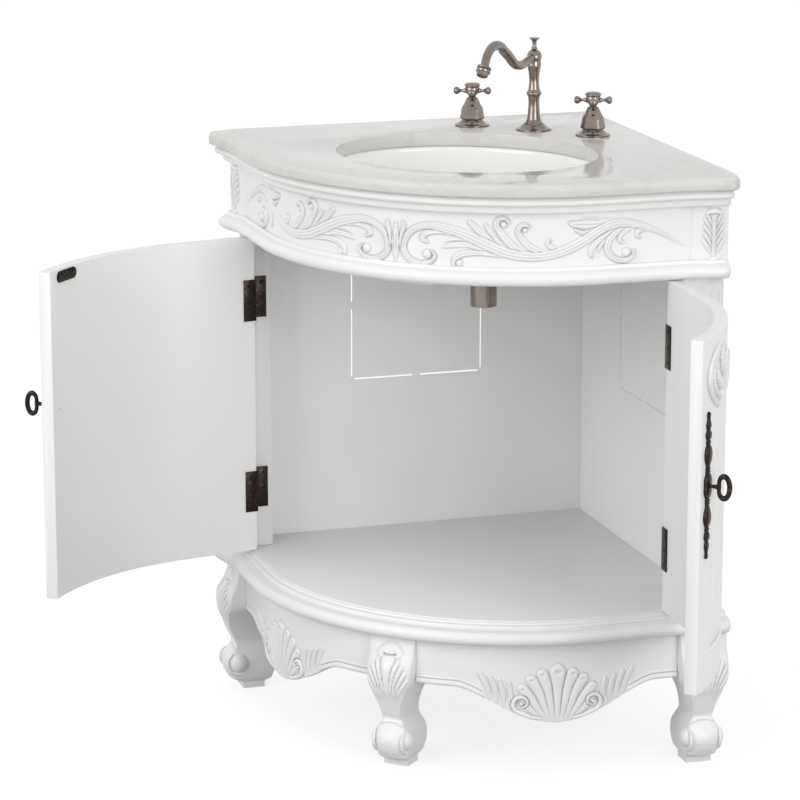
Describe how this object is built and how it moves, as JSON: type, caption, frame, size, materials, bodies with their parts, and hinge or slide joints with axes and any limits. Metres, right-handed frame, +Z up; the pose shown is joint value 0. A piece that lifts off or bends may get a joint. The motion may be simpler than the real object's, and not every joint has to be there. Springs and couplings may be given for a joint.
{
  "type": "corner vanity unit",
  "caption": "Quarter-round corner bathroom vanity: marble top, undermount oval sink, widespread faucet and a bowed two-door cabinet on cabriole legs.",
  "frame": {"origin": "on the floor, under the middle of the plain rear leg in the room corner", "axes": "+Z up, front towards -Y along the bisector of the room corner, +X to the right of someone facing the cabinet's front"},
  "size_m": [1.1025, 0.8388, 1.0305],
  "materials": {
    "white_paint": "satin white paint",
    "cream_marble": "polished",
    "white_ceramic": "glazed",
    "brushed_nickel": "brushed nickel plate on brass",
    "dark_bronze": "dark oil-rubbed bronze",
    "threaded_brass": "plain machined brass"
  },
  "bodies": {
    "cabinet": {"countertop": "cream_marble", "sink_bowl": "white_ceramic", "drain_body": "brushed_nickel", "drain_nut": "threaded_brass", "drain_tailpiece": "brushed_nickel", "spout_escutcheon": "brushed_nickel", "spout_column": "brushed_nickel", "spout_tube": "brushed_nickel", "spout_aerator": "brushed_nickel", "spout_lock_nut": "threaded_brass", "left_handle_escutcheon": "brushed_nickel", "left_handle_bell": "brushed_nickel", "left_valve_shank": "threaded_brass", "left_lock_nut": "threaded_brass", "right_handle_escutcheon": "brushed_nickel", "right_handle_bell": "brushed_nickel", "right_valve_shank": "threaded_brass", "right_lock_nut": "threaded_brass", "top_moulding": "white_paint", "frieze_board": "white_paint", "torus_rail": "white_paint", "left_post": "white_paint", "right_post": "white_paint", "left_back_panel": "white_paint", "right_back_panel": "white_paint", "cabinet_floor": "white_paint", "base_moulding": "white_paint", "left_apron": "white_paint", "right_apron": "white_paint", "centre_leg": "white_paint", "left_leg": "white_paint", "right_leg": "white_paint", "rear_leg": "white_paint", "left_upper_hinge_pin": "dark_bronze", "left_upper_hinge_jamb_leaf": "dark_bronze", "left_lower_hinge_pin": "dark_bronze", "left_lower_hinge_jamb_leaf": "dark_bronze", "right_upper_hinge_pin": "dark_bronze", "right_upper_hinge_jamb_leaf": "dark_bronze", "right_lower_hinge_pin": "dark_bronze", "right_lower_hinge_jamb_leaf": "dark_bronze", "door_catch": "white_paint"},
    "left_door": {"left_door": "white_paint", "left_upper_hinge_door_leaf": "dark_bronze", "left_lower_hinge_door_leaf": "dark_bronze", "left_strike_plate": "dark_bronze", "left_pull_plate": "dark_bronze", "left_pull_bow": "dark_bronze"},
    "right_door": {"right_door": "white_paint", "right_upper_hinge_door_leaf": "dark_bronze", "right_lower_hinge_door_leaf": "dark_bronze", "right_strike_plate": "dark_bronze", "right_pull_plate": "dark_bronze", "right_pull_bow": "dark_bronze"},
    "left_cross": {"left_handle_cross": "brushed_nickel"},
    "right_cross": {"right_handle_cross": "brushed_nickel"},
    "lift_rod": {"lift_rod": "brushed_nickel"},
    "stopper": {"drain_stopper": "brushed_nickel"}
  },
  "joints": [
    {"name": "left_door_hinge", "type": "hinge", "parent": "cabinet", "child": "left_door", "pos_m": [-0.35497, -0.40517, 0.48], "axis": [0, 0, 1], "range_deg": [-24.9, 80.1]},
    {"name": "right_door_hinge", "type": "hinge", "parent": "cabinet", "child": "right_door", "pos_m": [0.35497, -0.40517, 0.48], "axis": [0, 0, 1], "range_deg": [-88.4, 16.6]},
    {"name": "left_handle_turn", "type": "hinge", "parent": "cabinet", "child": "left_cross", "pos_m": [-0.1016, -0.15784, 0.93], "axis": [0, 0, 1], "range_deg": [0, 90]},
    {"name": "right_handle_turn", "type": "hinge", "parent": "cabinet", "child": "right_cross", "pos_m": [0.1016, -0.15784, 0.93], "axis": [0, 0, 1], "range_deg": [-90, 0]},
    {"name": "lift_rod_slide", "type": "slide", "parent": "cabinet", "child": "lift_rod", "axis": [0, 0, 1], "range_m": [0, 0.012]},
    {"name": "stopper_slide", "type": "slide", "parent": "cabinet", "child": "stopper", "axis": [0, 0, 1], "range_m": [-0.008, 0]}
  ],
  "couplings": [
    {"joint": "stopper_slide", "follows": "lift_rod_slide", "ratio": -0.6666}
  ]
}
